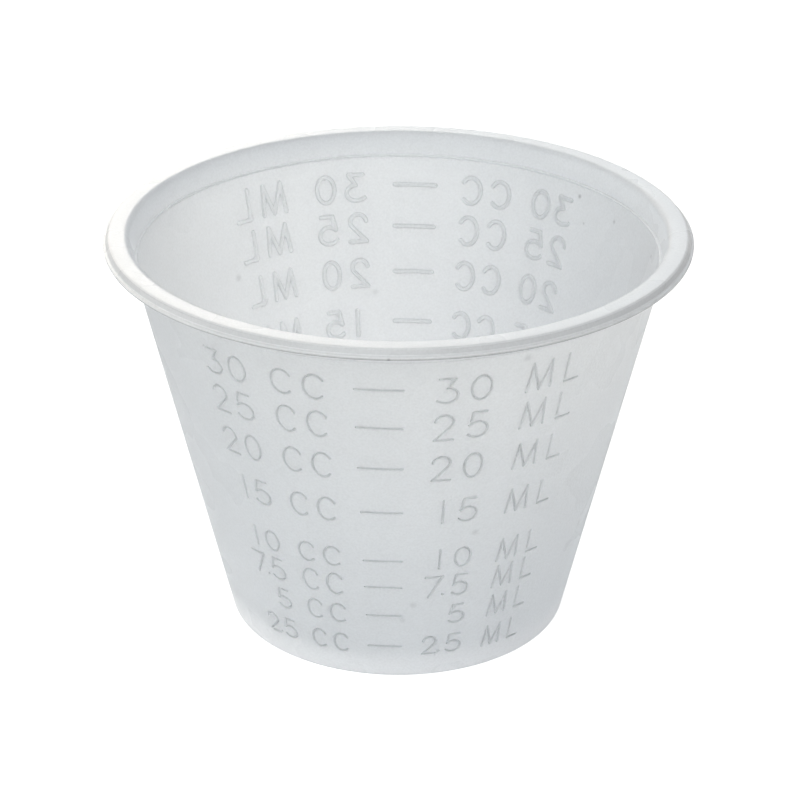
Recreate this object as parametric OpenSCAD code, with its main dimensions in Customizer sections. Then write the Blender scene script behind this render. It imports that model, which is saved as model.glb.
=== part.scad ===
// Graduated medicine cup.
// One thin plastic sheet, drawn down into a tapered cup, with its edge turned
// over into a rim. Short marks on two opposite sides show the volume: each is
// a groove in the outer face of the sheet and a ridge on the inner face.
// Sizes are in millimetres. The cup stands on the origin and opens upwards.

/* [Body] */
// Height of the cup
cup_h = 34.8; // [30:0.1:40]
// Diameter of the foot
foot_d = 29; // [25:0.1:33]
// Outward lean of the wall for each millimetre of height
wall_lean = 0.235; // [0.15:0.005:0.3]
// Thickness of the sheet
sheet_t = 0.3; // [0.26:0.01:0.36]
// Inner radius of the bend between floor and wall
foot_bend = 0.15; // [0.1:0.05:1]

/* [Rim] */
// Width of the rim's top, from the line of the inner wall to its outer corner
rim_w = 1.7; // [1.5:0.05:2.5]
// Hollow-side radius of the bend from the wall into the rim
rim_in_bend = 0.2; // [0.1:0.05:0.4]
// Hollow-side radius of the bend from the rim down into its skirt
rim_out_bend = 0.05; // [0.05:0.01:0.15]
// Height of the skirt
skirt_h = 0.5; // [0.45:0.05:1.5]
// Outward spread of the skirt from its top to its bottom
skirt_spread = 0.22; // [0.1:0.01:0.3]
// Radius of the bend from the skirt into the lip
lip_bend = 0.1; // [0.05:0.01:0.15]
// Width of the lip that was left outside the skirt by trimming
lip_w = 0.25; // [0.2:0.01:0.6]
// Drop of the lip over its width
lip_drop = 0.04; // [0:0.01:0.1]

/* [Stacking bead] */
// Depth of the bead's ledge under the top of the rim
bead_depth = 1.93; // [1.5:0.01:3]
// Reach of the ledge from the inner wall
bead_w = 0.25; // [0.15:0.01:0.3]
// Radius of the bead's crest
bead_round = 0.08; // [0.04:0.01:0.1]
// Width of the groove behind the bead
bead_groove_w = 0.24; // [0.1:0.01:0.3]

/* [Volume marks] */
// Angle that each mark spans around the cup
mark_angle = 10; // [5:0.5:20]
// Width of the groove in the outer face
groove_w = 0.22; // [0.1:0.01:0.3]
// Width of the ridge on the inner face
ridge_w = 0.38; // [0.2:0.01:0.6]
// Height of the ridge on the inner face
ridge_h = 0.13; // [0.06:0.01:0.16]
// Millilitres by which the marks near the floor read high
mark_bias = 0.4; // [0:0.05:0.5]
// Least height between the top mark and the ledge of the stacking bead
mark_clear = 1.5; // [1:0.1:5]

/* [Hidden] */

// Volumes of the marks in millilitres: steps of 2.5 to 10, then steps of 5
fine_marks = [for (i = [1:4]) 2.5 * i];
coarse_marks = [for (i = [3:6]) 5 * i];
all_marks = concat(fine_marks, coarse_marks);
full_mark = all_marks[len(all_marks) - 1];

// Fineness of the round forms
turn_steps = 96;
wire_steps = 16;
bend_steps = 4;

// Length of wall for each millimetre of height
wall_stretch = sqrt(1 + wall_lean * wall_lean);
// Inner radius that the wall's line has at the level of the foot
inner_r0 = foot_d / 2 - sheet_t * wall_stretch;
// Direction from the inner face straight through the sheet
through = [1, -wall_lean] / wall_stretch;
// Radius of the ridge's rounded top
ridge_r = (ridge_w * ridge_w / 4 + ridge_h * ridge_h) / (2 * ridge_h);
// Depth in the sheet that a ridge or bead is rooted in
root_depth = sheet_t / 3;
// Level of the bead's ledge
bead_z = cup_h - bead_depth;

// Inner radius of the wall at a height
function inner_r(z) = inner_r0 + wall_lean * z;

// Point at a depth under the inner face of the wall
function wall_point(z, depth) = [inner_r(z), z] + depth * through;

// Volume below a mark in cubic millimetres
function held(ml) = 1000 * (ml - mark_bias * (1 - ml / full_mark));

// Height at which the cup holds a volume, from the volume of a cone's frustum
function level(ml) =
    let (floor_cube = pow(inner_r(sheet_t), 3))
    (pow(floor_cube + 3 * wall_lean * held(ml) / PI, 1 / 3) - inner_r0) / wall_lean;

// The marks that the cup is large enough to have under its bead
marks = [for (ml = all_marks) if (level(ml) + mark_clear < bead_z) ml];

// Corners of the upper face of the sheet, from the middle of the floor out to
// the trimmed edge of the lip
floor_centre = [0, sheet_t];
floor_corner = [inner_r(sheet_t), sheet_t];
rim_in_corner = [inner_r(cup_h), cup_h];
rim_out_corner = rim_in_corner + [rim_w, 0];
skirt_foot = rim_out_corner + [skirt_spread, -skirt_h];
lip_edge = skirt_foot + [lip_w, -lip_drop];
corners = [floor_centre, floor_corner, rim_in_corner, rim_out_corner, skirt_foot, lip_edge];
bends = [foot_bend, rim_in_bend, rim_out_bend, lip_bend];

// Direction from the upper face of the lip to its under face
lip_under = [-lip_drop, -lip_w] / norm([lip_drop, lip_w]);

// Points of a round bend at corner b on the way from a to c, on one face of
// the sheet: r is the radius on the hollow side of the bend
function bend(a, b, c, r, upper) =
    let (
        u = (b - a) / norm(b - a),
        w = (c - b) / norm(c - b),
        turn = atan2(u.x * w.y - u.y * w.x, u * w),
        inwards = turn > 0 ? [-u.y, u.x] : [u.y, -u.x],
        upper_r = turn > 0 ? r : r + sheet_t,
        under_r = turn > 0 ? r + sheet_t : r,
        centre = b - u * upper_r * tan(abs(turn) / 2) + inwards * upper_r,
        start = atan2(-inwards.y, -inwards.x),
        radius = upper ? upper_r : under_r
    )
    [
        for (i = [0:bend_steps])
        let (at = start + turn * i / bend_steps)
        centre + radius * [cos(at), sin(at)]
    ];

// All bends of one face, from the floor to the lip
function face(upper) = [
    for (i = [1:4])
    each bend(corners[i - 1], corners[i], corners[i + 1], bends[i - 1], upper)
];

// The same points in the other order
function back(points) = [for (i = [len(points) - 1:-1:0]) points[i]];

// Half of the sheet's section, to the right of the cup's axis
module sheet_section() {
    upper = concat([floor_centre], face(true), [lip_edge]);
    under = concat([lip_edge + sheet_t * lip_under], back(face(false)), [[0, 0]]);
    polygon(concat(upper, under));
}

// Section of the stacking bead: a flat ledge with a slanting underside
module bead_section() {
    root_r = inner_r(bead_z) + root_depth;
    crest = [inner_r(bead_z) - bead_w + bead_round, bead_z - bead_round];
    nose = [for (a = [90:22.5:225]) crest + bead_round * [cos(a), sin(a)]];
    last = nose[len(nose) - 1];
    polygon(concat([[root_r, bead_z]], nose, [[root_r, last.y - (root_r - last.x)]]));
}

// The plain cup without its marks
module drawn_sheet() {
    rotate_extrude($fn = turn_steps)
        sheet_section();
    rotate_extrude($fn = turn_steps)
        bead_section();
}

// Section of a ridge: the rounded top of a circle, rooted in the sheet
module ridge_section() {
    intersection() {
        translate([ridge_r - ridge_h, 0])
            circle(r = ridge_r, $fn = wire_steps);
        translate([root_depth - ridge_h - sheet_t, -ridge_r])
            square([ridge_h + sheet_t, 2 * ridge_r]);
    }
}

// Section of a groove as wide as w
module groove_section(w) {
    circle(d = w, $fn = wire_steps);
}

// A section drawn around the wall at both sides, for one volume mark
module mark_pair(ml, depth) {
    for (side = [0, 180])
        rotate([0, 0, side - 90 - mark_angle / 2])
            rotate_extrude(angle = mark_angle, $fn = turn_steps)
                translate(wall_point(level(ml), depth))
                    rotate(atan2(through.y, through.x))
                        children();
}

// Ridges on the inner face
module ridges() {
    for (ml = marks)
        mark_pair(ml, 0)
            ridge_section();
}

// Grooves in the outer face, with the one behind the stacking bead
module grooves() {
    for (ml = marks)
        mark_pair(ml, sheet_t)
            groove_section(groove_w);
    rotate_extrude($fn = turn_steps)
        translate(wall_point(bead_z, sheet_t))
            groove_section(bead_groove_w);
}

module cup() {
    color([0.88, 0.9, 0.92, 0.8])
        difference() {
            union() {
                drawn_sheet();
                ridges();
            }
            grooves();
        }
}

cup();
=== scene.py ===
"""A graduated medicine cup: its pressed plastic sheet, its frosted finish and a plain studio around it.

The cup is one thin sheet. Its section is turned around the axis, and the wall is meshed finely only where
the volume marks run. A Geometry Nodes tree then presses the marks into it: narrow grooves in the outer face
and broader flat-topped ridges on the inner face, both following the same pen lines.
"""

import logging
import math
from dataclasses import dataclass, field
from enum import Enum

import bpy
import numpy as np
from mathutils import Matrix, Vector
from mathutils.geometry import delaunay_2d_cdt


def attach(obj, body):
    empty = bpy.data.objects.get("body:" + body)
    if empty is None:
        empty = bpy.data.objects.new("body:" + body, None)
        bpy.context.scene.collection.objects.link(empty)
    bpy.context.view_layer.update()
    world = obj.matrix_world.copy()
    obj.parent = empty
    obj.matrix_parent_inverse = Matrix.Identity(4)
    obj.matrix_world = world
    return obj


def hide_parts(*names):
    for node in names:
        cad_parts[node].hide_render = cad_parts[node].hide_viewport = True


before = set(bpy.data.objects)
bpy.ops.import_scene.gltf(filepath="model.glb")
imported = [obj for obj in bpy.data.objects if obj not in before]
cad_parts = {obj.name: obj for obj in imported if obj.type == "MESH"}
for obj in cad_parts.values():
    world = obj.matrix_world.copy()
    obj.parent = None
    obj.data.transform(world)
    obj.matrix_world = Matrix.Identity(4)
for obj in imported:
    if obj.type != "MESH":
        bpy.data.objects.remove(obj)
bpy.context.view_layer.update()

LOG = logging.getLogger("medicine_cup")
MM = 0.001
Points = np.ndarray
Socket = bpy.types.NodeSocket


def metres(*sizes: float) -> tuple[float, ...]:
    """Turns sizes in millimetres into metres."""
    return tuple(size * MM for size in sizes)


@dataclass(frozen=True)
class CupSizes:
    """Sizes of the cup in millimetres, the same as in the solid."""

    height: float = 34.8
    foot_diameter: float = 29.0
    lean: float = 0.235
    sheet: float = 0.3
    foot_bend: float = 0.15
    rim_width: float = 1.7
    rim_inner_bend: float = 0.2
    rim_outer_bend: float = 0.05
    skirt_height: float = 0.5
    skirt_spread: float = 0.22
    lip_bend: float = 0.1
    lip_width: float = 0.25
    lip_drop: float = 0.04
    bead_depth: float = 1.93
    bead_reach: float = 0.25
    bead_round: float = 0.08
    bead_groove: float = 0.24
    mark_bias: float = 0.4
    full_mark: float = 30.0

    @property
    def stretch(self) -> float:
        """Length of wall for each millimetre of height."""
        return math.hypot(1.0, self.lean)

    @property
    def bead_level(self) -> float:
        """Height of the stacking bead's ledge."""
        return self.height - self.bead_depth

    def outer_radius(self, z: float) -> float:
        """Radius of the wall's outer face at a height."""
        return self.foot_diameter / 2 + self.lean * z

    def inner_radius(self, z: float) -> float:
        """Radius of the wall's inner face at a height."""
        return self.outer_radius(z) - self.sheet * self.stretch

    def mark_level(self, ml: float) -> float:
        """Height of the liquid's surface at a volume mark.

        Args:
            ml: The number on the mark, in millilitres.

        Returns:
            The height over the surface that the cup stands on, in millimetres.
        """
        held = 1000.0 * (ml - self.mark_bias * (1.0 - ml / self.full_mark))
        floor_cube = self.inner_radius(self.sheet) ** 3
        radius = (floor_cube + 3.0 * self.lean * held / math.pi) ** (1.0 / 3.0)
        return (radius - self.inner_radius(0.0)) / self.lean


class Face(Enum):
    """The two faces of the sheet."""

    OUTER = "outer"
    INNER = "inner"


@dataclass
class SheetSection:
    """The half section of the sheet, to the right of the cup's axis."""

    sizes: CupSizes
    bend_steps: int = 9
    crest_steps: int = 6
    groove_steps: int = 8
    edge_round: float = 0.09
    edge_steps: int = 3
    floor_radii: tuple[float, ...] = (0.0, 3.5, 7.0, 10.5, 13.0)

    def corners(self) -> Points:
        """Corners of the sheet's upper face, from the middle of the floor out to the edge of the lip.

        Returns:
            Six corners, each with its radius and height.
        """
        s = self.sizes
        rim_inner = np.array([s.inner_radius(s.height), s.height])
        rim_outer = rim_inner + [s.rim_width, 0.0]
        skirt_foot = rim_outer + [s.skirt_spread, -s.skirt_height]
        lip_edge = skirt_foot + [s.lip_width, -s.lip_drop]
        floor_centre = np.array([0.0, s.sheet])
        floor_corner = np.array([s.inner_radius(s.sheet), s.sheet])
        return np.array([floor_centre, floor_corner, rim_inner, rim_outer, skirt_foot, lip_edge])

    def bend(self, a: Points, b: Points, c: Points, hollow: float, face: Face) -> Points:
        """Points of one round bend of the sheet.

        Args:
            a: The corner before the bend.
            b: The corner that is bent.
            c: The corner after the bend.
            hollow: Radius on the hollow side of the bend.
            face: The face of the sheet, of which INNER is the upper one.

        Returns:
            Points from the start of the bend to its end.
        """
        u = (b - a) / np.linalg.norm(b - a)
        w = (c - b) / np.linalg.norm(c - b)
        turn = math.atan2(u[0] * w[1] - u[1] * w[0], float(u @ w))
        towards = np.array([-u[1], u[0]]) if turn > 0 else np.array([u[1], -u[0]])
        upper = hollow if turn > 0 else hollow + self.sizes.sheet
        under = hollow + self.sizes.sheet if turn > 0 else hollow
        centre = b - u * upper * math.tan(abs(turn) / 2) + towards * upper
        start = math.atan2(-towards[1], -towards[0])
        at = start + turn * np.linspace(0.0, 1.0, self.bend_steps + 1)
        radius = upper if face is Face.INNER else under
        return centre + radius * np.stack([np.cos(at), np.sin(at)], axis=1)

    def bends(self, face: Face) -> list[Points]:
        """The four bends of one face: foot, inner rim, outer rim and lip.

        Args:
            face: The face of the sheet.

        Returns:
            The points of each bend.
        """
        s = self.sizes
        hollows = [s.foot_bend, s.rim_inner_bend, s.rim_outer_bend, s.lip_bend]
        c = self.corners()
        return [self.bend(c[i], c[i + 1], c[i + 2], hollow, face) for i, hollow in enumerate(hollows)]

    def bead(self) -> Points:
        """Points of the stacking bead on the inner face, from its underside up to its ledge.

        Returns:
            The points, each with its radius and height.
        """
        s = self.sizes
        z = s.bead_level
        crest = np.array([s.inner_radius(z) - s.bead_reach + s.bead_round, z - s.bead_round])
        at = np.radians(np.linspace(225.0, 90.0, self.crest_steps))
        nose = crest + s.bead_round * np.stack([np.cos(at), np.sin(at)], axis=1)
        drop = (s.inner_radius(nose[0, 1]) - nose[0, 0]) / (1.0 + s.lean)
        root = nose[0] + [drop, -drop]
        ledge = np.array([s.inner_radius(z), z])
        return np.vstack([root, nose, ledge])

    def bead_groove(self) -> Points:
        """Points of the groove behind the bead, in the outer face, from its lower edge up.

        Returns:
            The points, each with its radius and height.
        """
        s = self.sizes
        z = s.bead_level - s.sheet * s.lean / s.stretch
        centre = np.array([s.outer_radius(z), z])
        up = math.atan2(1.0, s.lean)
        at = up + math.pi * np.linspace(1.0, 0.0, self.groove_steps + 1)
        around = np.stack([np.cos(at), np.sin(at)], axis=1)
        return centre + s.bead_groove / 2 * around

    def lip_rounds(self) -> Points:
        """Points round the lip's edge, from its upper face to its underside, with both corners rubbed.

        Returns:
            The points, each with its radius and height.
        """
        s, r = self.sizes, self.edge_round
        along = np.array([s.lip_width, -s.lip_drop]) / math.hypot(s.lip_width, s.lip_drop)
        up = np.array([-along[1], along[0]])
        top = self.corners()[-1]
        centres = (top - r * along - r * up, top - s.sheet * up - r * along + r * up)
        rounds = []
        for centre, (start, end) in zip(centres, ((90.0, 0.0), (0.0, -90.0))):
            at = np.radians(np.linspace(start, end, self.edge_steps + 1))
            rounds.append(centre + r * (np.outer(np.cos(at), along) + np.outer(np.sin(at), up)))
        return np.vstack(rounds)

    def outline(self, wall_rows: Points) -> tuple[Points, range, range]:
        """The whole section as one line, from the middle of the floor round the lip and back underneath.

        Args:
            wall_rows: Heights on the inner face where the wall carries rows of vertices.

        Returns:
            The points of the line, the places of the wall's rows on the inner face, and on the outer face.
        """
        s = self.sizes
        upper, under = self.bends(Face.INNER), self.bends(Face.OUTER)
        floor_rings = np.array([[radius, s.sheet] for radius in self.floor_radii])
        inner_rows = np.array([[s.inner_radius(z), z] for z in wall_rows])
        outer_rows = inner_rows + s.sheet * np.array([1.0, -s.lean]) / s.stretch
        groove = self.bead_groove()
        before = np.vstack([floor_rings, upper[0]])
        after = np.vstack([self.bead(), upper[1], upper[2], upper[3], self.lip_rounds()])
        back = np.vstack([under[3][::-1], under[2][::-1], under[1][::-1], groove[::-1]])
        base = np.vstack([under[0][::-1], floor_rings[::-1] * [1.0, 0.0]])
        line = np.vstack([before, inner_rows, after, back, outer_rows[::-1], base])
        first_inner = len(before)
        first_outer = len(before) + len(inner_rows) + len(after) + len(back)
        count = len(wall_rows)
        return line, range(first_inner, first_inner + count), range(first_outer, first_outer + count)


@dataclass(frozen=True)
class Arc:
    """Part of an ellipse drawn by the pen, in a box that reaches 1 to each side and 0.5 up and down."""

    centre: tuple[float, float]
    radii: tuple[float, float]
    start: float
    end: float

    def places(self) -> Points:
        """Places along the arc, about every 12 degrees.

        Returns:
            The places, in the glyph's box.
        """
        count = max(3, round(abs(self.end - self.start) / 12.0) + 1)
        at = np.radians(np.linspace(self.start, self.end, count))
        around = np.stack([np.cos(at), np.sin(at)], axis=1)
        return np.array(self.centre) + np.array(self.radii) * around


@dataclass(frozen=True)
class Run:
    """Straight pen lines through a few places."""

    through: tuple[tuple[float, float], ...]

    def places(self) -> Points:
        """The corners of the run."""
        return np.array(self.through, dtype=float)


Stroke = tuple[Arc | Run, ...]

GLYPHS: dict[str, tuple[Stroke, ...]] = {
    "0": ((Arc((0.0, 0.0), (0.93, 0.5), 90.0, 450.0),),),
    "1": ((Run(((0.45, 0.5), (0.45, -0.5))),),),
    "2": ((Arc((-0.08, 0.22), (0.86, 0.28), 175.0, -32.0), Run(((-0.98, -0.5), (0.85, -0.5)))),),
    "3": (
        (
            Run(((-0.74, 0.5), (0.74, 0.5))),
            Arc((0.06, -0.2), (0.93, 0.3), 92.0, -90.0),
            Arc((0.06, -0.2), (1.25, 0.3), -98.0, -138.0),
        ),
    ),
    "5": (
        (
            Run(((0.75, 0.5), (-0.52, 0.5), (-0.84, 0.0))),
            Arc((0.0, -0.19), (1.0, 0.31), 140.0, -90.0),
            Arc((0.0, -0.19), (1.12, 0.31), -98.0, -146.0),
        ),
    ),
    "7": ((Run(((-1.05, 0.5), (1.0, 0.5), (-0.62, -0.5))),),),
    "C": ((Arc((0.08, 0.0), (1.05, 0.5), 36.0, 314.0),),),
    "M": ((Run(((-0.97, -0.5), (-0.66, 0.5), (0.03, -0.5), (0.8, 0.5), (0.95, -0.5))),),),
    "L": ((Run(((-0.9, 0.5), (-0.93, -0.5), (0.93, -0.5))),),),
    ".": ((Run(((0.0, -0.02), (0.0, 0.02))),),),
}


@dataclass(frozen=True)
class Column:
    """A column of the legend: its middle and half width in degrees around the cup."""

    middle: float
    half_width: float


class Place(Enum):
    """The columns of the legend, counted from the column of dashes towards the reader's right."""

    CC_TENS = Column(-38.7, 2.3)
    CC_POINT = Column(-35.9, 1.0)
    CC_UNITS = Column(-32.0, 2.3)
    CC_FIRST = Column(-21.1, 2.3)
    CC_SECOND = Column(-13.8, 2.3)
    ML_TENS = Column(14.2, 2.3)
    ML_POINT = Column(16.85, 1.0)
    ML_UNITS = Column(21.6, 2.3)
    ML_FIRST = Column(35.1, 3.15)
    ML_SECOND = Column(43.85, 2.05)


@dataclass(frozen=True)
class Row:
    """One row of the legend: its number, and the heights and drops of its numerals and of its ML."""

    number: float
    height: float
    drop: float
    ml_height: float
    ml_drop: float = 0.08

    @property
    def numeral(self) -> str:
        """The number's digits, the tens left blank below ten and the decimal point left out."""
        return f"{int(self.number)}5" if self.number % 1.0 else f"{self.number:2.0f}"


@dataclass(frozen=True)
class PenLine:
    """One pen line of the legend, as degrees around the cup and heights on the inner face."""

    places: Points
    glyph: int


@dataclass
class Legend:
    """The volume legend: rows of numbers, unit letters and dashes."""

    sizes: CupSizes
    rows: tuple[Row, ...] = (
        Row(2.5, 1.87, 0.0, 2.05),
        Row(5.0, 1.94, 0.16, 2.11),
        Row(7.5, 2.16, 0.08, 2.16),
        Row(10.0, 1.94, -0.05, 2.21),
        Row(15.0, 2.29, 0.08, 2.29),
        Row(20.0, 2.37, 0.08, 2.37),
        Row(25.0, 2.44, 0.08, 2.44),
        Row(30.0, 2.29, 0.19, 2.62, 0.14),
    )
    spread: float = 1.0
    dash_half: float = 5.0
    point_rise: float = 0.24
    step: float = 0.4

    @staticmethod
    def characters(row: Row) -> list[tuple[str, Place]]:
        """The characters of one row, each with its column.

        Args:
            row: The row.

        Returns:
            Pairs of a character and the column that it stands in.
        """
        tens, units = row.numeral
        line = [("C", Place.CC_FIRST), ("C", Place.CC_SECOND), ("M", Place.ML_FIRST), ("L", Place.ML_SECOND)]
        line += [(units, Place.CC_UNITS), (units, Place.ML_UNITS)]
        if tens != " ":
            line += [(tens, Place.CC_TENS), (tens, Place.ML_TENS)]
        if row.number % 1.0:
            line += [(".", Place.CC_POINT), (".", Place.ML_POINT)]
        return line

    def fine(self, corners: Points) -> Points:
        """Adds places along a pen line, so that none of its legs is long.

        Args:
            corners: The line's places, in degrees and millimetres.

        Returns:
            The same line with places about a step apart.
        """
        line = [corners[0]]
        for a, b in zip(corners[:-1], corners[1:]):
            across = math.radians(b[0] - a[0]) * self.sizes.outer_radius(float(a[1]))
            length = math.hypot(across, (b[1] - a[1]) * self.sizes.stretch)
            count = max(1, round(length / self.step))
            line += [a + (b - a) * (i + 1) / count for i in range(count)]
        return np.array(line)

    def pen_lines(self) -> list[PenLine]:
        """Every pen line of the legend, on one side of the cup.

        Returns:
            The lines, numbered by the glyph that they belong to.
        """
        lines: list[PenLine] = []
        glyph = 0
        for row in self.rows:
            level = self.sizes.mark_level(row.number)
            dash = np.array([[-self.dash_half, level], [self.dash_half, level]])
            lines.append(PenLine(self.fine(dash), glyph))
            glyph += 1
            for character, place in self.characters(row):
                letter = character in "ML"
                height = row.ml_height if letter else row.height
                middle = level - (row.ml_drop if letter else row.drop)
                if character == ".":
                    middle += self.point_rise - height / 2
                for stroke in GLYPHS[character]:
                    at = np.vstack([part.places() for part in stroke])
                    column = place.value
                    line = at * [column.half_width, height] + [column.middle, middle]
                    lines.append(PenLine(self.fine(line * [self.spread, 1.0]), glyph))
                glyph += 1
        return lines


class Side(Enum):
    """The two sides of the cup that carry a legend, by the direction in degrees that each one faces."""

    NEAR = -90.0
    FAR = 90.0


@dataclass(frozen=True)
class WallPlan:
    """One face and side of the wall laid flat, as a cone unrolls without stretching."""

    sizes: CupSizes
    face: Face
    side: Side
    inner_offset: float = 50.0
    far_offset: float = 100.0
    middle_level: float = 17.0

    @property
    def opening(self) -> float:
        """Angle on the plan for each degree around the cup."""
        return self.sizes.lean / self.sizes.stretch

    @property
    def foot_radius(self) -> float:
        """Radius of this face at the height of nought."""
        s = self.sizes
        return s.inner_radius(0.0) if self.face is Face.INNER else s.outer_radius(0.0)

    @property
    def drop(self) -> float:
        """How far a place sinks as it passes square through the sheet to this face."""
        s = self.sizes
        return 0.0 if self.face is Face.INNER else s.sheet * s.lean / s.stretch

    @property
    def level(self) -> float:
        """Height at which this plan is kept, so that the four plans lie apart."""
        inner = self.inner_offset if self.face is Face.INNER else 0.0
        return inner + (self.far_offset if self.side is Side.FAR else 0.0)

    @property
    def centre(self) -> float:
        """Distance on the plan from the tip of the unrolled cone to the plan's middle."""
        return (self.foot_radius + self.sizes.lean * self.middle_level) / self.opening

    def flatten(self, places: Points) -> Points:
        """Lays places of the wall flat.

        Args:
            places: Degrees around the cup and heights on the inner face.

        Returns:
            Places on the plan, in millimetres.
        """
        radius = self.foot_radius + self.sizes.lean * (places[:, 1] - self.drop)
        away = radius / self.opening
        turn = np.radians(places[:, 0]) * self.opening
        return np.stack([away * np.sin(turn), away * np.cos(turn) - self.centre], axis=1)

    def stand(self, flat: Points) -> Points:
        """Takes places on the plan back to the wall.

        Args:
            flat: Places on the plan, in millimetres.

        Returns:
            Degrees around the cup, radius and height of each place.
        """
        beyond = flat[:, 1] + self.centre
        away = np.hypot(flat[:, 0], beyond)
        turn = np.degrees(np.arctan2(flat[:, 0], beyond)) / self.opening
        radius = away * self.opening
        return np.stack([turn, radius, (radius - self.foot_radius) / self.sizes.lean], axis=1)


@dataclass(frozen=True)
class FlatMesh:
    """A triangulated plan, whose first points are the panel's border."""

    points: Points
    triangles: list[tuple[int, int, int]]
    border: dict[int, tuple[int, int]]


@dataclass
class LegendPanel:
    """The part of one face that carries the legend, meshed closely along the pen lines."""

    plan: WallPlan
    lines: list[PenLine]
    rows: Points
    columns: range
    column_angle: float
    offsets: tuple[float, ...]
    ring_steps: int = 9
    closest: float = 0.036
    grid: float = 0.72
    clearance: float = 0.42
    margin: float = 0.3
    side_margin: float = 0.6
    sharpest: float = 22.0
    slack: float = 0.006

    def border(self) -> tuple[Points, list[tuple[int, int]]]:
        """The panel's edge, in order.

        Returns:
            The places of the wall along it, and their rows and columns on the cup's grid.
        """
        last_row, first, last = len(self.rows) - 1, self.columns[0], self.columns[-1]
        keys = [(0, c) for c in self.columns[:-1]]
        keys += [(r, last) for r in range(last_row)]
        keys += [(last_row, c) for c in reversed(self.columns[1:])]
        keys += [(r, first) for r in range(last_row, 0, -1)]
        return np.array([[c * self.column_angle, self.rows[r]] for r, c in keys]), keys

    @staticmethod
    def gap(places: Points, starts: Points, ends: Points) -> Points:
        """Distance from each place to the nearest of a set of straight legs.

        Args:
            places: Places on the plan.
            starts: First ends of the legs.
            ends: Second ends of the legs.

        Returns:
            One distance for each place.
        """
        nearest = np.full(len(places), np.inf)
        for a, b in zip(starts, ends):
            leg = b - a
            along = np.clip((places - a) @ leg / max(float(leg @ leg), 1e-9), 0.0, 1.0)
            nearest = np.minimum(nearest, np.linalg.norm(places - a - along[:, None] * leg, axis=1))
        return nearest

    def beside(self, line: Points) -> list[tuple[float, Points]]:
        """Places beside one pen line, and rings of them round its ends and corners.

        Args:
            line: The pen line on the plan.

        Returns:
            For each offset from the line, the places at that offset.
        """
        legs = np.diff(line, axis=0)
        unit = legs / np.linalg.norm(legs, axis=1, keepdims=True)
        before = np.vstack([unit[:1], unit])
        after = np.vstack([unit, unit[-1:]])
        mean = before + after
        mean /= np.linalg.norm(mean, axis=1, keepdims=True)
        normal = np.stack([-mean[:, 1], mean[:, 0]], axis=1)
        corner = np.sum(before * after, axis=1) < math.cos(math.radians(self.sharpest))
        corner[0] = corner[-1] = True
        at = np.linspace(0.0, 2.0 * math.pi, self.ring_steps, endpoint=False)
        result = [(0.0, line)]
        for offset in self.offsets:
            places = [line[~corner] + offset * normal[~corner], line[~corner] - offset * normal[~corner]]
            for i in np.flatnonzero(corner):
                turn = at + math.atan2(normal[i, 1], normal[i, 0])
                places.append(line[i] + offset * np.stack([np.cos(turn), np.sin(turn)], axis=1))
            result.append((offset, np.vstack(places)))
        return result

    def along_lines(self) -> Points:
        """Places along and beside every pen line, none nearer to a line than its own offset.

        Returns:
            Places on the plan, in millimetres.
        """
        kept: list[Points] = []
        for glyph in sorted({line.glyph for line in self.lines}):
            flats = [self.plan.flatten(line.places) for line in self.lines if line.glyph == glyph]
            starts = np.vstack([flat[:-1] for flat in flats])
            ends = np.vstack([flat[1:] for flat in flats])
            for flat in flats:
                for offset, places in self.beside(flat):
                    free = self.gap(places, starts, ends) > offset - self.slack
                    kept.append(places[free])
        return np.vstack(kept)

    def background(self, edge: Points) -> Points:
        """Sparse places between the glyphs.

        Args:
            edge: The panel's border on the plan.

        Returns:
            Places on the plan, clear of the pen lines and of the border.
        """
        low, high = self.rows[0] + self.margin, self.rows[-1] - self.margin
        count = round((high - low) / self.grid)
        span = (self.columns[0] + self.side_margin, self.columns[-1] - self.side_margin)
        places = []
        for i, z in enumerate(np.linspace(low, high, count + 1)):
            across = np.arange(span[0] + 0.5 * (i % 2), span[1], 1.0) * self.column_angle
            places.append(np.stack([across, np.full(len(across), z)], axis=1))
        flat = self.plan.flatten(np.vstack(places))
        lines = [self.plan.flatten(line.places) for line in self.lines]
        starts = np.vstack([line[:-1] for line in lines])
        ends = np.vstack([line[1:] for line in lines])
        flat = flat[self.gap(flat, starts, ends) > self.clearance]
        return flat[self.gap(flat, edge, np.roll(edge, -1, axis=0)) > self.margin]

    def thin(self, places: Points) -> Points:
        """Leaves out places that are almost on top of an earlier one.

        Args:
            places: Places on the plan.

        Returns:
            The places that are kept, in the same order.
        """
        cells: dict[tuple[int, int], list[Points]] = {}
        kept = []
        for place in places:
            x, y = (int(v) for v in np.floor(place / self.closest))
            near = [p for i in (-1, 0, 1) for j in (-1, 0, 1) for p in cells.get((x + i, y + j), ())]
            if all(np.hypot(*(place - p)) >= self.closest for p in near):
                cells.setdefault((x, y), []).append(place)
                kept.append(place)
        return np.array(kept)

    def mesh(self) -> FlatMesh:
        """Triangulates the panel's plan.

        Returns:
            The flat mesh, with the grid place of each point of its border.
        """
        wall_edge, keys = self.border()
        edge = self.plan.flatten(wall_edge)
        inside = self.thin(np.vstack([self.along_lines(), self.background(edge)]))
        points = [Vector((float(x), float(y))) for x, y in np.vstack([edge, inside])]
        loop = list(range(len(edge)))
        found, _, faces, sources, _, _ = delaunay_2d_cdt(points, [], [loop], 1, 1e-6)
        border = {i: keys[min(ids)] for i, ids in enumerate(sources) if ids and min(ids) < len(edge)}
        flat = np.array([[p.x, p.y] for p in found])
        triangles = []
        for a, b, c in faces:
            u, w = flat[b] - flat[a], flat[c] - flat[a]
            triangles.append((a, b, c) if u[0] * w[1] > u[1] * w[0] else (a, c, b))
        return FlatMesh(flat, triangles, border)


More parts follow.
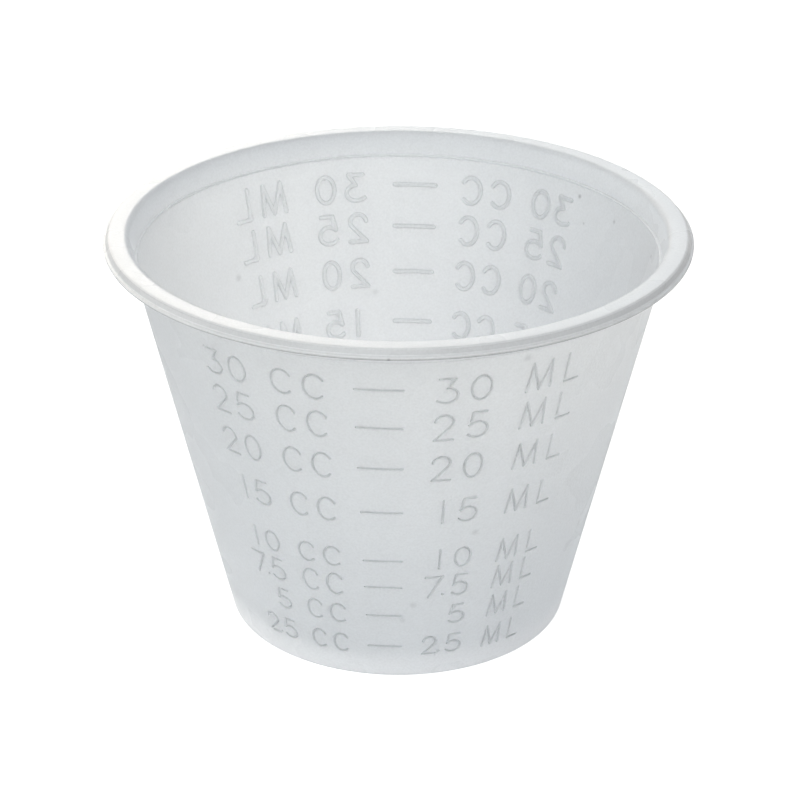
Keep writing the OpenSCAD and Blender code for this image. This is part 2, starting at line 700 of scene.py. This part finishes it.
@dataclass
class NodeSheet:
    """Adds nodes to a tree and joins them, for materials and geometry alike."""

    tree: bpy.types.NodeTree

    def add(
        self, kind: str, inputs: dict[str | int, object] | None = None, **settings: object
    ) -> bpy.types.Node:
        """Adds one node.

        Args:
            kind: Blender's type name of the node.
            inputs: For each input, by name or place, its value or the output socket that feeds it.
            **settings: Properties of the node.

        Returns:
            The new node.
        """
        node = self.tree.nodes.new(kind)
        for name, value in settings.items():
            setattr(node, name, value)
        for key, value in (inputs or {}).items():
            if isinstance(value, bpy.types.NodeSocket):
                self.tree.links.new(value, node.inputs[key])
            else:
                node.inputs[key].default_value = value
        return node

    def math(self, operation: str, *values: object) -> Socket:
        """The result of one sum on numbers or number sockets.

        Args:
            operation: Blender's name of the operation.
            *values: Numbers, or sockets that give them.

        Returns:
            The socket with the result.
        """
        return self.add("ShaderNodeMath", dict(enumerate(values)), operation=operation).outputs[0]

    def ramp(
        self, value: Socket, span: tuple, ends: tuple = (0.0, 1.0), smooth: bool = False
    ) -> Socket:
        """Carries a number from one span over to another, and holds it level beyond the ends.

        Args:
            value: The number.
            span: Where the ramp starts and ends, as numbers or sockets.
            ends: The results there, as numbers or sockets.
            smooth: Whether the ramp eases in and out.

        Returns:
            The socket with the result.
        """
        inputs = {"Value": value, "From Min": span[0], "From Max": span[1]}
        inputs |= {"To Min": ends[0], "To Max": ends[1]}
        way = "SMOOTHSTEP" if smooth else "LINEAR"
        return self.add("ShaderNodeMapRange", inputs, interpolation_type=way).outputs[0]

    def attribute(self, name: str) -> Socket:
        """A number that each vertex carries, for a material."""
        return self.add("ShaderNodeAttribute", attribute_name=name).outputs["Fac"]

    def noise(self, place: Socket, scale: float, detail: float, roughness: float = 0.5) -> Socket:
        """A soft random pattern of a given scale, about a half."""
        inputs = {"Vector": place, "Scale": scale, "Detail": detail, "Roughness": roughness}
        return self.add("ShaderNodeTexNoise", inputs).outputs[0]


BLANK_LAYERS = {"flat_place": "FLOAT_VECTOR", "through": "FLOAT_VECTOR", "outer_face": "FLOAT"}


@dataclass
class PressTree:
    """The Geometry Nodes tree that presses the legend into the sheet.

    Each vertex of a legend panel knows its place on the flat plan. The distance from there to the nearest
    pen line sets how deep the outer face is grooved, or how high the inner face stands.
    """

    groove_half: float = 0.135
    groove_depth: float = 0.12
    ridge_half: float = 0.2
    ridge_height: float = 0.12
    crown_share: float = 0.5
    inputs: dict[str, str] = field(default_factory=dict)

    def socket(self, tree: bpy.types.NodeTree, name: str, kind: str) -> None:
        """Adds a named input to the tree and remembers its identifier."""
        self.inputs[name] = tree.interface.new_socket(name, in_out="INPUT", socket_type=kind).identifier

    def build(self) -> bpy.types.NodeTree:
        """Builds the tree.

        Returns:
            The finished tree, with named inputs for every size.
        """
        tree = bpy.data.node_groups.new("press_legend", "GeometryNodeTree")
        tree.interface.new_socket("Geometry", in_out="INPUT", socket_type="NodeSocketGeometry")
        self.socket(tree, "Pen lines", "NodeSocketObject")
        for name in ("Groove half width", "Groove depth", "Ridge half width", "Ridge height", "Crown share"):
            self.socket(tree, name, "NodeSocketFloat")
        self.socket(tree, "Finish", "NodeSocketMaterial")
        tree.interface.new_socket("Geometry", in_out="OUTPUT", socket_type="NodeSocketGeometry")
        sheet = NodeSheet(tree)
        given = sheet.add("NodeGroupInput").outputs
        pens = sheet.add("GeometryNodeObjectInfo", {"Object": given["Pen lines"]}).outputs["Geometry"]
        flat, through, outer = (
            sheet.add("GeometryNodeInputNamedAttribute", {"Name": name}, data_type=kind).outputs[0]
            for name, kind in BLANK_LAYERS.items()
        )
        proximity = {"Geometry": pens, "Sample Position": flat}
        away = sheet.add("GeometryNodeProximity", proximity, target_element="EDGES").outputs["Distance"]
        groove = sheet.ramp(away, (0.0, given["Groove half width"]), (1.0, 0.0), smooth=True)
        crown = sheet.math("MULTIPLY", given["Ridge half width"], given["Crown share"])
        ridge = sheet.ramp(away, (crown, given["Ridge half width"]), (1.0, 0.0), smooth=True)
        cut = sheet.math("MULTIPLY", groove, sheet.math("MULTIPLY", given["Groove depth"], outer))
        inner = sheet.math("SUBTRACT", 1.0, outer)
        rise = sheet.math("MULTIPLY", ridge, sheet.math("MULTIPLY", given["Ridge height"], inner))
        inwards = sheet.math("MULTIPLY", sheet.math("ADD", cut, rise), -1.0)
        scaled = {0: through, "Scale": inwards}
        offset = sheet.add("ShaderNodeVectorMath", scaled, operation="SCALE").outputs[0]
        kept = given["Geometry"]
        for name, share, face in (("groove", groove, outer), ("ridge", ridge, inner)):
            marked = {"Geometry": kept, "Name": name, "Value": sheet.math("MULTIPLY", share, face)}
            store = "GeometryNodeStoreNamedAttribute"
            kept = sheet.add(store, marked, data_type="FLOAT", domain="POINT").outputs[0]
        moved = sheet.add("GeometryNodeSetPosition", {"Geometry": kept, "Offset": offset})
        real = sheet.add("GeometryNodeRealizeInstances", {"Geometry": moved.outputs[0]})
        finish = {"Geometry": real.outputs[0], "Material": given["Finish"]}
        done = sheet.add("GeometryNodeSetMaterial", finish)
        sheet.add("NodeGroupOutput", {"Geometry": done.outputs[0]})
        return tree

    def values(self, pens: bpy.types.Object, finish: bpy.types.Material) -> dict[str, object]:
        """The value of each named input.

        Args:
            pens: The object that holds the pen lines on the plans.
            finish: The material for the pressed sheet.

        Returns:
            Each value, by the input's name.
        """
        return {
            "Pen lines": pens,
            "Groove half width": self.groove_half * MM,
            "Groove depth": self.groove_depth * MM,
            "Ridge half width": self.ridge_half * MM,
            "Ridge height": self.ridge_height * MM,
            "Crown share": self.crown_share,
            "Finish": finish,
        }


@dataclass
class CupShell:
    """The cup: one sheet with a flat foot, a leaning wall, a stacking bead, a rim and a trimmed lip."""

    sizes: CupSizes
    section: SheetSection
    legends: dict[Side, Legend]
    press: PressTree
    divisions: int = 192
    panel_low: float = 1.8
    panel_high: float = 31.8
    panel_rows: int = 11
    panel_columns: range = range(-24, 28)
    groove_offsets: tuple[float, ...] = (0.045, 0.09, 0.13, 0.2)
    ridge_offsets: tuple[float, ...] = (0.09, 0.13, 0.16, 0.2, 0.28)
    trim_from: float = 24.36
    trim_least: float = 0.06
    trim_more: float = 0.1
    sharp_angle: float = 58.0
    off_plan: float = 1000.0

    @property
    def column_angle(self) -> float:
        """Degrees from one column of vertices to the next."""
        return 360.0 / self.divisions

    def turned(self, line: Points) -> Points:
        """The section turned around the axis, with the lip trimmed a little off centre.

        Args:
            line: The section's points.

        Returns:
            Places in millimetres, by row of the section and by column.
        """
        at = np.radians(Side.NEAR.value + self.column_angle * np.arange(self.divisions))
        radius = np.repeat(line[:, :1], self.divisions, axis=1)
        kept = 1.0 - self.trim_least - self.trim_more * (0.5 + 0.5 * np.cos(at))
        past = np.maximum(radius - self.trim_from, 0.0)
        radius = radius - past * (1.0 - kept)
        height = np.repeat(line[:, 1:], self.divisions, axis=1)
        return np.stack([radius * np.cos(at), radius * np.sin(at), height], axis=2)

    def panel(self, plan: WallPlan, rows: Points) -> FlatMesh:
        """The flat mesh of one legend panel.

        Args:
            plan: The face and side of the wall, laid flat.
            rows: Heights of the panel's rows on the inner face.

        Returns:
            The flat mesh.
        """
        offsets = self.groove_offsets if plan.face is Face.OUTER else self.ridge_offsets
        lines = self.legends[plan.side].pen_lines()
        made = LegendPanel(plan, lines, rows, self.panel_columns, self.column_angle, offsets).mesh()
        where = f"{plan.side.name.lower()} {plan.face.value}"
        LOG.info("%s legend panel: %d triangles", where, len(made.triangles))
        return made

    def blank(self) -> bpy.types.Object:
        """Builds the sheet before the legend is pressed.

        Returns:
            The object, whose vertices carry their place on the flat plan.
        """
        rows = np.linspace(self.panel_low, self.panel_high, self.panel_rows)
        line, inner_rows, outer_rows = self.section.outline(rows)
        grid = self.turned(line)
        count = self.divisions
        sides = {Face.INNER: inner_rows, Face.OUTER: outer_rows[::-1]}
        places = [grid.reshape(-1, 3)]
        total = grid.shape[0] * count
        flats = [np.tile([0.0, 0.0, self.off_plan], (total, 1))]
        outer = [np.zeros(total)]
        turns = [np.degrees(np.arctan2(grid[:, :, 1], grid[:, :, 0])).reshape(-1)]
        faces: list[tuple[int, ...]] = []
        covered: set[tuple[int, int]] = set()
        for plan in (WallPlan(self.sizes, face, side) for face in Face for side in Side):
            flat = self.panel(plan, rows)
            stood = plan.stand(flat.points)
            outward = plan.face is Face.OUTER
            first_column = 0 if plan.side is Side.NEAR else count // 2
            low = min(sides[plan.face])
            index = []
            fresh = []
            for i in range(len(flat.points)):
                if i in flat.border:
                    row, column = flat.border[i]
                    index.append(sides[plan.face][row] * count + (column + first_column) % count)
                else:
                    index.append(total + len(fresh))
                    fresh.append(i)
            total += len(fresh)
            at = np.radians(stood[fresh, 0] + plan.side.value)
            radius, height = stood[fresh, 1], stood[fresh, 2]
            places.append(np.stack([radius * np.cos(at), radius * np.sin(at), height], axis=1))
            flats.append(np.column_stack([flat.points[fresh], np.full(len(fresh), plan.level)]))
            outer.append(np.full(len(fresh), float(outward)))
            turns.append(np.degrees(at))
            for a, b, c in flat.triangles:
                corners = (index[a], index[b], index[c])
                faces.append(corners if outward else corners[::-1])
            for column in self.panel_columns[:-1]:
                covered |= {(low + row, (column + first_column) % count) for row in range(len(rows) - 1)}
        faces += self.quads(len(line), covered)
        return self.object_of(np.vstack(places), np.vstack(flats), np.hstack(outer), np.hstack(turns), faces)

    def quads(self, row_count: int, covered: set[tuple[int, int]]) -> list[tuple[int, ...]]:
        """The turned section's faces, apart from those that a legend panel covers.

        Args:
            row_count: How many points the section has.
            covered: Rows and columns that are left to the panels.

        Returns:
            Corners of each face, in the order that points it out of the sheet.
        """
        count = self.divisions
        faces: list[tuple[int, ...]] = []
        for row in range(row_count - 1):
            for column in range(count):
                beside = (column + 1) % count
                if (row, column) in covered:
                    continue
                a, b = row * count + column, (row + 1) * count + column
                c, d = (row + 1) * count + beside, row * count + beside
                if row == 0:
                    faces.append((0, b, c))
                elif row == row_count - 2:
                    faces.append((a, (row_count - 1) * count, d))
                else:
                    faces.append((a, b, c, d))
        return faces

    def object_of(
        self, places: Points, flats: Points, outer: Points, turns: Points, faces: list[tuple[int, ...]]
    ) -> bpy.types.Object:
        """Makes an object of the gathered vertices, leaving out those that no face uses.

        Args:
            places: Places in millimetres.
            flats: Places on the flat plans.
            outer: One for a vertex of an outer panel, nought for any other.
            turns: Degrees around the axis.
            faces: Corners of each face.

        Returns:
            The object, in metres.
        """
        used = np.unique(np.concatenate([np.array(face) for face in faces]))
        renumbered = np.full(len(places), -1)
        renumbered[used] = np.arange(len(used))
        mesh = bpy.data.meshes.new("cup_shell")
        corners = [tuple(int(v) for v in renumbered[list(face)]) for face in faces]
        mesh.from_pydata((places[used] * MM).tolist(), [], corners)
        at, s = np.radians(turns[used]), self.sizes
        across = np.stack([np.cos(at), np.sin(at), np.full(len(used), -s.lean)], axis=1) / s.stretch
        for (name, kind), values in zip(BLANK_LAYERS.items(), (flats[used] * MM, across, outer[used])):
            layer = mesh.attributes.new(name, kind, "POINT")
            value_name = "vector" if kind == "FLOAT_VECTOR" else "value"
            layer.data.foreach_set(value_name, values.astype(np.float32).ravel())
        mesh.update()
        blank = bpy.data.objects.new("cup_shell", mesh)
        bpy.context.collection.objects.link(blank)
        return blank

    def pens(self) -> bpy.types.Object:
        """The pen lines on the four flat plans, as an object of edges alone.

        Returns:
            The object, in metres.
        """
        vertices: list[list[float]] = []
        edges: list[tuple[int, int]] = []
        for plan in (WallPlan(self.sizes, face, side) for face in Face for side in Side):
            for line in self.legends[plan.side].pen_lines():
                flat = plan.flatten(line.places) * MM
                first = len(vertices)
                vertices += [[float(x), float(y), plan.level * MM] for x, y in flat]
                edges += [(first + i, first + i + 1) for i in range(len(flat) - 1)]
        mesh = bpy.data.meshes.new("pen_lines")
        mesh.from_pydata(vertices, edges, [])
        pens = bpy.data.objects.new("pen_lines", mesh)
        bpy.context.collection.objects.link(pens)
        return pens

    def build(self, finish: bpy.types.Material) -> bpy.types.Object:
        """Builds the cup and presses the legend into it.

        Args:
            finish: The plastic's material.

        Returns:
            The finished piece, as a plain mesh.
        """
        blank, pens = self.blank(), self.pens()
        modifier = blank.modifiers.new("press", "NODES")
        modifier.node_group = self.press.build()
        for name, value in self.press.values(pens, finish).items():
            modifier[self.press.inputs[name]] = value
        bpy.context.view_layer.update()
        evaluated = blank.evaluated_get(bpy.context.evaluated_depsgraph_get())
        mesh = bpy.data.meshes.new_from_object(evaluated)
        blank.modifiers.remove(modifier)
        blank.data = mesh
        mesh.name = "cup_shell"
        bpy.data.objects.remove(pens)
        mesh.shade_smooth()
        mesh.set_sharp_from_angle(angle=math.radians(self.sharp_angle))
        for name in BLANK_LAYERS:
            mesh.attributes.remove(mesh.attributes[name])
        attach(blank, "root")
        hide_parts("cup")
        return blank


@dataclass(frozen=True)
class Smudge:
    """A small mark on the plastic: its middle in millimetres, its reach and how much it dulls."""

    angle: float
    radius: float
    height: float
    reach: float
    strength: float

    def middle(self) -> tuple[float, float, float]:
        """The mark's middle in metres."""
        at = math.radians(self.angle)
        return (self.radius * math.cos(at) * MM, self.radius * math.sin(at) * MM, self.height * MM)


@dataclass(frozen=True)
class FrostedPlastic:
    """Thin milky polypropylene: it passes most light scattered, and has a fine grain and a soft gloss."""

    milk: tuple[float, float, float] = (0.96, 0.968, 0.975)
    passed: tuple[float, float, float] = (0.958, 0.975, 0.985)
    passing: float = 0.7
    rim_passing: float = 0.18
    rim_radii: tuple[float, float] = (22.5, 22.9)
    bead_passing: float = 0.35
    bead_level: float = 32.74
    bead_reach: float = 0.14
    foot_passing: float = 0.43
    foot_levels: tuple[float, float] = (0.9, 3.5)
    flank_passing: float = 0.5
    flank_rise: tuple[float, float] = (0.0, 0.12)
    flank_fall: tuple[float, float] = (0.25, 0.65)
    crown_passing: float = 1.0
    crown_rise: tuple[float, float] = (0.5, 0.8)
    roughness: tuple[float, float] = (0.22, 0.34)
    roughness_scale: float = 140.0
    grain_size: float = 0.3
    grain_depth: float = 0.03
    groove_bump: float = 4.5
    ridge_bump: float = 3.5
    cloud: float = 0.015
    cloud_scale: float = 90.0
    speckle: float = 0.05
    speckle_size: float = 0.2
    noise_span: tuple[float, float] = (0.3, 0.7)
    # Painted shade, darkening the colour: in the grooves, on the ridges' flanks, on the skirt, on the lip's
    # edge and at the foot's bend.
    groove_painted_shade: float = 0.1
    flank_painted_shade: float = 0.08
    skirt_painted_shade: float = 0.2
    skirt_radii: tuple[float, float] = (24.04, 24.09)
    skirt_levels: tuple[float, float] = (34.35, 34.41)
    lip_edge_painted_shade: float = 0.6
    edge_radii: tuple[float, float] = (24.22, 24.26)
    edge_levels: tuple[float, float] = (34.01, 34.23)
    foot_painted_shade: float = 0.2
    foot_band: tuple[float, float] = (0.07, 0.35)
    smudges: tuple[Smudge, ...] = ()

    def build(self) -> bpy.types.Material:
        """Builds the material.

        Returns:
            The material, which reads Object coordinates and the groove and ridge attributes.
        """
        material = bpy.data.materials.new("frosted_plastic")
        material.use_nodes = True
        material.node_tree.nodes.clear()
        sheet = NodeSheet(material.node_tree)
        place = sheet.add("ShaderNodeTexCoord").outputs["Object"]
        grain = self.grain(sheet, place)
        shade = self.shade(sheet, place)
        milk, passed = (
            sheet.add("ShaderNodeVectorMath", {0: colour, "Scale": shade}, operation="SCALE").outputs[0]
            for colour in (self.milk, self.passed)
        )
        rough = sheet.ramp(sheet.noise(place, self.roughness_scale, 2.0), (0.0, 1.0), self.roughness)
        skin = {"Base Color": milk, "Roughness": rough, "IOR": 1.49, "Normal": grain}
        body = sheet.add("ShaderNodeBsdfPrincipled", skin).outputs[0]
        veil = sheet.add("ShaderNodeBsdfTranslucent", {"Color": passed, "Normal": grain}).outputs[0]
        both = {0: self.share_passed(sheet, place), 1: body, 2: veil}
        mixed = sheet.add("ShaderNodeMixShader", both).outputs[0]
        sheet.add("ShaderNodeOutputMaterial", {"Surface": mixed})
        return material

    @staticmethod
    def axis_distance(sheet: NodeSheet, place: Socket) -> Socket:
        """Distance of a place from the cup's axis.

        Args:
            sheet: The material's nodes.
            place: Object coordinates.

        Returns:
            The distance.
        """
        level = {0: place, 1: (1.0, 1.0, 0.0)}
        across = sheet.add("ShaderNodeVectorMath", level, operation="MULTIPLY").outputs[0]
        return sheet.add("ShaderNodeVectorMath", {0: across}, operation="LENGTH").outputs["Value"]

    def share_passed(self, sheet: NodeSheet, place: Socket) -> Socket:
        """The share of light that goes through: most in the wall, less in the rim, the bead and the foot.

        Args:
            sheet: The material's nodes.
            place: Object coordinates.

        Returns:
            The share.
        """
        radius = self.axis_distance(sheet, place)
        height = sheet.add("ShaderNodeSeparateXYZ", {0: place}).outputs["Z"]
        rim, ends = metres(*self.rim_radii), (self.passing, self.rim_passing)
        share = sheet.ramp(radius, rim, ends, smooth=True)
        away = sheet.math("ABSOLUTE", sheet.math("SUBTRACT", height, self.bead_level * MM))
        bead = metres(0.5 * self.bead_reach, self.bead_reach)
        share = sheet.ramp(away, bead, (self.bead_passing, share), smooth=True)
        share = sheet.ramp(height, metres(*self.foot_levels), (self.foot_passing, share), smooth=True)
        crown = sheet.ramp(sheet.attribute("ridge"), self.crown_rise)
        share = sheet.math("MULTIPLY_ADD", self.flank(sheet), self.flank_passing - self.passing, share)
        return sheet.math("MULTIPLY_ADD", crown, self.crown_passing - self.passing, share)

    def flank(self, sheet: NodeSheet) -> Socket:
        """One on the steep sides of the ridges, nought on their crowns and beside them.

        Args:
            sheet: The material's nodes.

        Returns:
            The mask.
        """
        ridge = sheet.attribute("ridge")
        falling = sheet.ramp(ridge, self.flank_fall, (1.0, 0.0))
        return sheet.math("MULTIPLY", sheet.ramp(ridge, self.flank_rise), falling)

    def grain(self, sheet: NodeSheet, place: Socket) -> Socket:
        """The fine grain of the mould and the crisp edges of the marks, as a bumped normal.

        Args:
            sheet: The material's nodes.
            place: Object coordinates.

        Returns:
            The bumped normal.
        """
        fine = sheet.noise(place, 1.0 / (self.grain_size * MM), 3.0, 0.6)
        groove = sheet.math("MULTIPLY", sheet.attribute("groove"), self.groove_bump)
        ridge = sheet.math("MULTIPLY", sheet.attribute("ridge"), self.ridge_bump)
        height = sheet.math("ADD", sheet.math("SUBTRACT", fine, groove), ridge)
        bump = {"Height": height, "Distance": self.grain_depth * MM, "Strength": 1.0}
        return sheet.add("ShaderNodeBump", bump).outputs[0]

    def shade(self, sheet: NodeSheet, place: Socket) -> Socket:
        """A factor for the plastic's colours: cloudy tone, specks and smudges, and painted shade in the
        grooves, on the ridges' flanks, on the skirt, on the lip's edge and at the foot's bend.

        Args:
            sheet: The material's nodes.
            place: Object coordinates.

        Returns:
            A factor for the plastic's colours, about one.
        """
        clouds = sheet.noise(place, self.cloud_scale, 4.0, 0.55)
        kept = sheet.ramp(clouds, self.noise_span, (1.0 - self.cloud, 1.0))
        specks = sheet.noise(place, 1.0 / (self.speckle_size * MM), 1.0)
        specks = sheet.ramp(specks, self.noise_span, (1.0 - self.speckle, 1.0))
        kept = sheet.math("MULTIPLY", kept, specks)
        # Painted shade: the hollows of the grooves and the steep flanks of the ridges are darkened in the
        # colour.
        masks = ((sheet.attribute("groove"), self.groove_painted_shade), (self.flank(sheet), self.flank_painted_shade))
        for mask, painted_amount in masks:
            lost = sheet.math("MULTIPLY", mask, painted_amount)
            kept = sheet.math("MULTIPLY", kept, sheet.math("SUBTRACT", 1.0, lost))
        kept = sheet.math("MULTIPLY", kept, self.painted_rim_and_foot_shade(sheet, place))
        for smudge in self.smudges:
            ends = {0: place, 1: smudge.middle()}
            away = sheet.add("ShaderNodeVectorMath", ends, operation="DISTANCE").outputs["Value"]
            mark = sheet.ramp(away, metres(0.0, smudge.reach), (1.0 - smudge.strength, 1.0), smooth=True)
            kept = sheet.math("MULTIPLY", kept, mark)
        return kept

    def painted_rim_and_foot_shade(self, sheet: NodeSheet, place: Socket) -> Socket:
        """Painted shade on the skirt, on the lip's edge under its overhang and at the foot's bend, where the
        cup stands on the floor.

        Args:
            sheet: The material's nodes.
            place: Object coordinates.

        Returns:
            A factor, below one where shade is painted on the skirt, the lip's edge and the foot.
        """
        height = sheet.add("ShaderNodeSeparateXYZ", {0: place}).outputs["Z"]
        radius = self.axis_distance(sheet, place)
        # Painted shade on the lip's edge face, standing in for the dark line under the overhanging lip.
        outside = sheet.ramp(radius, metres(*self.edge_radii))
        under = sheet.ramp(height, metres(*self.edge_levels), (1.0, 0.0))
        lost = sheet.math("MULTIPLY", sheet.math("MULTIPLY", outside, under), self.lip_edge_painted_shade)
        # Painted shade on the skirt, whose upright face is lit less.
        above = sheet.ramp(height, metres(*self.skirt_levels))
        skirt = sheet.math("MULTIPLY", above, sheet.ramp(radius, metres(*self.skirt_radii)))
        lost = sheet.math("MULTIPLY_ADD", skirt, self.skirt_painted_shade, lost)
        # Painted shade at the foot's bend, where the cup meets the floor.
        foot = sheet.ramp(height, metres(*self.foot_band), (1.0 - self.foot_painted_shade, 1.0))
        return sheet.math("MULTIPLY", foot, sheet.math("SUBTRACT", 1.0, lost))


@dataclass(frozen=True)
class SoftBox:
    """A square soft lamp, aimed at the middle of the cup."""

    name: str
    azimuth: float
    elevation: float
    watts: float
    colour: tuple[float, float, float]
    distance: float = 0.9
    size: float = 0.6

    def build(self, aim: Vector) -> bpy.types.Object:
        """Places the lamp.

        Args:
            aim: The place that it faces.

        Returns:
            The lamp.
        """
        lamp = bpy.data.lights.new(self.name, "AREA")
        lamp.shape, lamp.size = "SQUARE", self.size
        lamp.energy, lamp.color = self.watts, self.colour
        at, up = math.radians(self.azimuth), math.radians(self.elevation)
        away = Vector((math.cos(at) * math.cos(up), math.sin(at) * math.cos(up), math.sin(up)))
        holder = bpy.data.objects.new(self.name, lamp)
        holder.location = aim + away * self.distance
        holder.rotation_euler = away.to_track_quat("Z", "Y").to_euler()
        bpy.context.collection.objects.link(holder)
        return holder


@dataclass
class Studio:
    """A pale floor, a plain surround, soft lamps and the camera at the photograph's angle."""

    boxes: tuple[SoftBox, ...]
    surround: float = 0.01
    floor_colour: float = 0.9
    floor_reach: float = 0.7
    floor_lift: float = 0.7
    floor_glow: float = 0.46
    glow_tint: tuple[float, float, float] = (0.988, 0.965, 1.0)
    focal: float = 2736.89
    picture: float = 800.0
    distance: float = 243.4
    elevation: float = 0.5246
    swing: float = 0.0007
    tilt: float = 0.0692
    roll: float = 0.0032
    turned: float = 4.02
    sensor: float = 36.0
    clip: tuple[float, float] = (0.01, 20.0)
    aim_level: float = 17.0
    floor_drop: float = 0.01

    def camera(self) -> bpy.types.Object:
        """Places the camera where the photograph was taken from.

        Returns:
            The camera.
        """
        start = Vector((0.0, -math.cos(self.elevation), math.sin(self.elevation))) * self.distance * MM
        ahead = -start.normalized()
        right = Vector((1.0, 0.0, 0.0))
        up = right.cross(ahead)
        ahead = (ahead + math.tan(self.swing) * right + math.tan(self.tilt) * up).normalized()
        right = ahead.cross(Vector((0.0, 0.0, 1.0))).normalized()
        up = right.cross(ahead)
        level, lean = math.cos(self.roll), math.sin(self.roll)
        across, upwards = right * level + up * lean, up * level - right * lean
        pose = Matrix((across, upwards, -ahead)).transposed().to_4x4()
        pose.translation = start
        lens = bpy.data.cameras.new("camera")
        lens.sensor_width = self.sensor
        lens.lens = self.focal / self.picture * self.sensor
        lens.clip_start, lens.clip_end = self.clip
        camera = bpy.data.objects.new("camera", lens)
        camera.matrix_world = Matrix.Rotation(math.radians(self.turned), 4, "Z") @ pose
        bpy.context.collection.objects.link(camera)
        bpy.context.scene.camera = camera
        return camera

    @staticmethod
    def seen(sheet: NodeSheet) -> Socket:
        """One where the camera sees the backdrop, also in a gloss or through clear glass.

        It is nought where the backdrop lights the cup. Light that the cup's milky sheet scatters through
        itself is light on the cup, so it is left out here.

        Args:
            sheet: The nodes of the floor or of the surround.

        Returns:
            The switch.
        """
        path = sheet.add("ShaderNodeLightPath").outputs
        unscattered = sheet.math("SUBTRACT", 1.0, path["Is Diffuse Ray"])
        clear = sheet.math("MULTIPLY", path["Is Transmission Ray"], unscattered)
        mirrored = sheet.math("MAXIMUM", path["Is Glossy Ray"], clear)
        return sheet.math("MAXIMUM", path["Is Camera Ray"], mirrored)

    def surroundings(self) -> None:
        """Lights the cup evenly from all round, and shows white behind it."""
        world = bpy.data.worlds.new("studio")
        bpy.context.scene.world = world
        world.use_nodes = True
        world.node_tree.nodes.clear()
        sheet = NodeSheet(world.node_tree)
        plain = (1.0, 1.0, 1.0, 1.0)
        fill, white = (
            sheet.add("ShaderNodeBackground", {"Color": plain, "Strength": strength}).outputs[0]
            for strength in (self.surround, 1.0)
        )
        light = sheet.add("ShaderNodeMixShader", {0: self.seen(sheet), 1: fill, 2: white}).outputs[0]
        sheet.add("ShaderNodeOutputWorld", {"Surface": light})

    def floor(self) -> bpy.types.Object:
        """The pale floor, which shows white and keeps the cup's shadow.

        Returns:
            The floor.
        """
        material = bpy.data.materials.new("studio_floor")
        material.use_nodes = True
        material.node_tree.nodes.clear()
        sheet = NodeSheet(material.node_tree)
        colour = (self.floor_colour, self.floor_colour, self.floor_colour, 1.0)
        matt = sheet.add("ShaderNodeBsdfDiffuse", {"Color": colour}).outputs[0]
        tinted = {"Color": (*self.glow_tint, 1.0), "Strength": self.floor_glow}
        glow = sheet.add("ShaderNodeEmission", tinted).outputs[0]
        lift = sheet.add("ShaderNodeEmission", {"Strength": self.floor_lift}).outputs[0]
        glow = sheet.add("ShaderNodeMixShader", {0: self.seen(sheet), 1: glow, 2: lift}).outputs[0]
        both = sheet.add("ShaderNodeAddShader", {0: matt, 1: glow}).outputs[0]
        sheet.add("ShaderNodeOutputMaterial", {"Surface": both})
        reach, below = self.floor_reach, -self.floor_drop * MM
        ends = ((-reach, -reach), (reach, -reach), (reach, reach), (-reach, reach))
        mesh = bpy.data.meshes.new("studio_floor")
        mesh.from_pydata([(x, y, below) for x, y in ends], [], [(0, 1, 2, 3)])
        mesh.materials.append(material)
        floor = bpy.data.objects.new("studio_floor", mesh)
        bpy.context.collection.objects.link(floor)
        return floor

    def build(self) -> None:
        """Sets up the floor, the surround, the lamps and the camera."""
        self.floor()
        self.surroundings()
        for box in self.boxes:
            box.build(Vector((0.0, 0.0, self.aim_level * MM)))
        self.camera()
        bpy.context.scene.view_settings.view_transform = "Standard"


def main() -> None:
    """Builds the cup and its studio, and reports each piece."""
    logging.basicConfig(level=logging.INFO, format="%(message)s")
    sizes = CupSizes()
    near, far = Side.NEAR.value, Side.FAR.value
    smudges = (
        Smudge(near + 31.0, sizes.outer_radius(32.0), 32.0, 0.5, 0.15),
        Smudge(near + 8.5, sizes.outer_radius(8.0), 8.0, 0.45, 0.12),
        Smudge(near + 24.3, sizes.outer_radius(15.2), 15.2, 0.45, 0.12),
        Smudge(near + 5.5, sizes.outer_radius(6.3), 6.3, 0.4, 0.1),
        Smudge(far - 43.7, sizes.inner_radius(31.7), 31.7, 0.3, 0.35),
        Smudge(far + 50.0, sizes.inner_radius(24.1), 24.1, 0.5, 0.15),
        Smudge(far + 10.5, sizes.inner_radius(20.5), 20.5, 0.45, 0.12),
        Smudge(far - 46.6, sizes.inner_radius(29.6), 29.6, 0.2, 0.2),
        Smudge(far - 79.2, sizes.inner_radius(31.1), 31.1, 0.22, 0.3),
        Smudge(far - 57.0, sizes.inner_radius(31.0), 31.0, 0.3, 0.2),
        # Painted shade of a small nick in the lip's edge: the nick is darkened in the colour, not cut into
        # the sheet.
        Smudge(near + 2.35, 24.5, 34.02, 0.22, 0.6),
    )
    finish = FrostedPlastic(smudges=smudges).build()
    LOG.info("finish: frosted plastic with %d smudges", len(smudges))
    legends = {Side.NEAR: Legend(sizes), Side.FAR: Legend(sizes, spread=1.027)}
    cup = CupShell(sizes, SheetSection(sizes), legends, PressTree()).build(finish)
    cup.data.calc_loop_triangles()
    LOG.info("cup shell: %d triangles", len(cup.data.loop_triangles))
    boxes = (
        SoftBox("back_left_softbox", 115.0, 25.0, 2.65, (1.0, 0.883, 0.75)),
        SoftBox("back_softbox", 95.0, 25.0, 1.6, (0.834, 0.931, 1.0)),
        SoftBox("front_softbox", -100.0, 30.0, 2.1, (0.917, 1.0, 0.98)),
        SoftBox("high_front_softbox", -94.0, 58.0, 3.1, (0.982, 0.965, 0.98)),
        SoftBox("top_softbox", 100.0, 85.0, 0.8, (0.9, 0.96, 1.0)),
        SoftBox("left_softbox", 180.0, 15.0, 1.6, (1.0, 0.985, 0.93)),
    )
    Studio(boxes).build()
    LOG.info("studio: floor, surround, %d lamps and camera", len(boxes))


if __name__ == "__main__":
    main()
